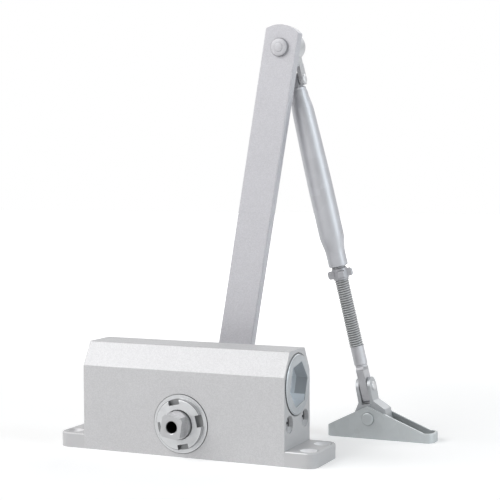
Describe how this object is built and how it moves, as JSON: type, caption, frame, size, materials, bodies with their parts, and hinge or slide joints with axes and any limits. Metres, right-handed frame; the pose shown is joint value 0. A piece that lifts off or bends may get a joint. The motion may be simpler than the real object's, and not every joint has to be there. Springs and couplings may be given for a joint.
{
  "type": "surface-mounted door closer",
  "caption": "Hydraulic rack-and-pinion door closer: cast body with fixing lugs, cranked main arm, jointed forearm of adjustable length and foot bracket.",
  "frame": {"origin": "centre of the body's mounting face, in the middle of the four fixing holes", "axes": "+X along the body towards the regulating valves, +Y across the body towards the main arm, +Z out of the mounting face"},
  "size_m": [0.1938, 0.1146, 0.2377],
  "materials": {
    "silver_paint": "fine metallic silver paint",
    "plug_paint": "satin silver paint on the plug head",
    "bright_zinc": "bright zinc plate",
    "bracket_zinc": "dull zinc plate",
    "spindle_steel": "machined steel",
    "rod_steel": "rolled thread, zinc plate",
    "inner_steel": "ground steel",
    "spring_steel": "oiled spring wire",
    "bearing_bronze": "sintered bronze",
    "seal_rubber": "smooth black rubber"
  },
  "bodies": {
    "casing": {"housing": "silver_paint", "end_plug_right": "plug_paint", "end_plug_left": "plug_paint", "plug_seal_right": "seal_rubber", "plug_seal_left": "seal_rubber", "front_cap": "bright_zinc", "rear_cap": "bright_zinc", "front_bearing": "bearing_bronze", "rear_bearing": "bearing_bronze", "front_shaft_seal": "seal_rubber", "rear_shaft_seal": "seal_rubber", "spring_seat": "inner_steel", "return_spring": "spring_steel"},
    "closing_valve": {"closing_speed_valve": "bright_zinc", "closing_valve_seal": "seal_rubber"},
    "latching_valve": {"latching_speed_valve": "bright_zinc", "latching_valve_seal": "seal_rubber"},
    "spindle_and_arm": {"pinion_spindle": "spindle_steel", "main_arm": "silver_paint", "arm_washer": "bright_zinc", "arm_screw": "bright_zinc", "elbow_rivet": "silver_paint", "elbow_washer": "bright_zinc"},
    "piston_group": {"piston": "inner_steel", "check_valve_seat": "bearing_bronze", "check_valve_ball": "inner_steel"},
    "elbow": {"elbow_link": "silver_paint", "elbow_pin": "bright_zinc"},
    "forearm": {"forearm_tube": "silver_paint"},
    "nut": {"lock_nut": "bright_zinc"},
    "rod": {"adjusting_rod": "rod_steel"},
    "clevis": {"foot_clevis": "bright_zinc", "rod_pin": "bright_zinc"},
    "bracket": {"foot_bracket": "bracket_zinc", "foot_rivet": "bright_zinc"}
  },
  "joints": [
    {"name": "spindle_turn", "type": "hinge", "parent": "casing", "child": "spindle_and_arm", "pos_m": [0, 0, 0.0184], "axis": [0, -1, 0], "range_deg": [0, 170], "stiffness_Nm_per_rad": 3, "springref_deg": -85.94},
    {"name": "piston_slide", "type": "slide", "parent": "casing", "child": "piston_group", "axis": [-1, 0, 0], "range_m": [0, 0.0312], "deforming": ["return_spring"]},
    {"name": "closing_valve_turn", "type": "hinge", "parent": "casing", "child": "closing_valve", "pos_m": [0.0558, -0.011, 0.0214], "axis": [1, 0, 0], "range_deg": [-360, 360]},
    {"name": "latching_valve_turn", "type": "hinge", "parent": "casing", "child": "latching_valve", "pos_m": [0.0558, 0.011, 0.0214], "axis": [1, 0, 0], "range_deg": [-360, 360]},
    {"name": "elbow_turn", "type": "hinge", "parent": "spindle_and_arm", "child": "elbow", "pos_m": [0.03492, 0.0523, 0.22487], "axis": [0, 1, 0], "range_deg": [-120, 30]},
    {"name": "elbow_tilt", "type": "hinge", "parent": "elbow", "child": "forearm", "pos_m": [0.0384, 0.05455, 0.20714], "axis": [0.9813, 0, 0.1925], "range_deg": [-5, 8]},
    {"name": "nut_turn", "type": "hinge", "parent": "forearm", "child": "nut", "pos_m": [0.06022, 0.06837, 0.0959], "axis": [0.1911, 0.121, -0.9741], "continuous": true},
    {"name": "rod_slide", "type": "slide", "parent": "forearm", "child": "rod", "axis": [0.1911, 0.121, -0.9741], "range_m": [-0.038, 0.01]},
    {"name": "foot_tilt", "type": "hinge", "parent": "rod", "child": "clevis", "pos_m": [0.07331, 0.07665, 0.02922], "axis": [0.9813, 0, 0.1925], "range_deg": [-12, 12]},
    {"name": "foot_turn", "type": "hinge", "parent": "clevis", "child": "bracket", "pos_m": [0.07675, 0.07665, 0.01165], "axis": [0, 1, 0], "range_deg": [-40, 40]}
  ],
  "couplings": [
    {"joint": "piston_slide", "follows": "spindle_turn", "m_per_rad": 0.0105}
  ]
}
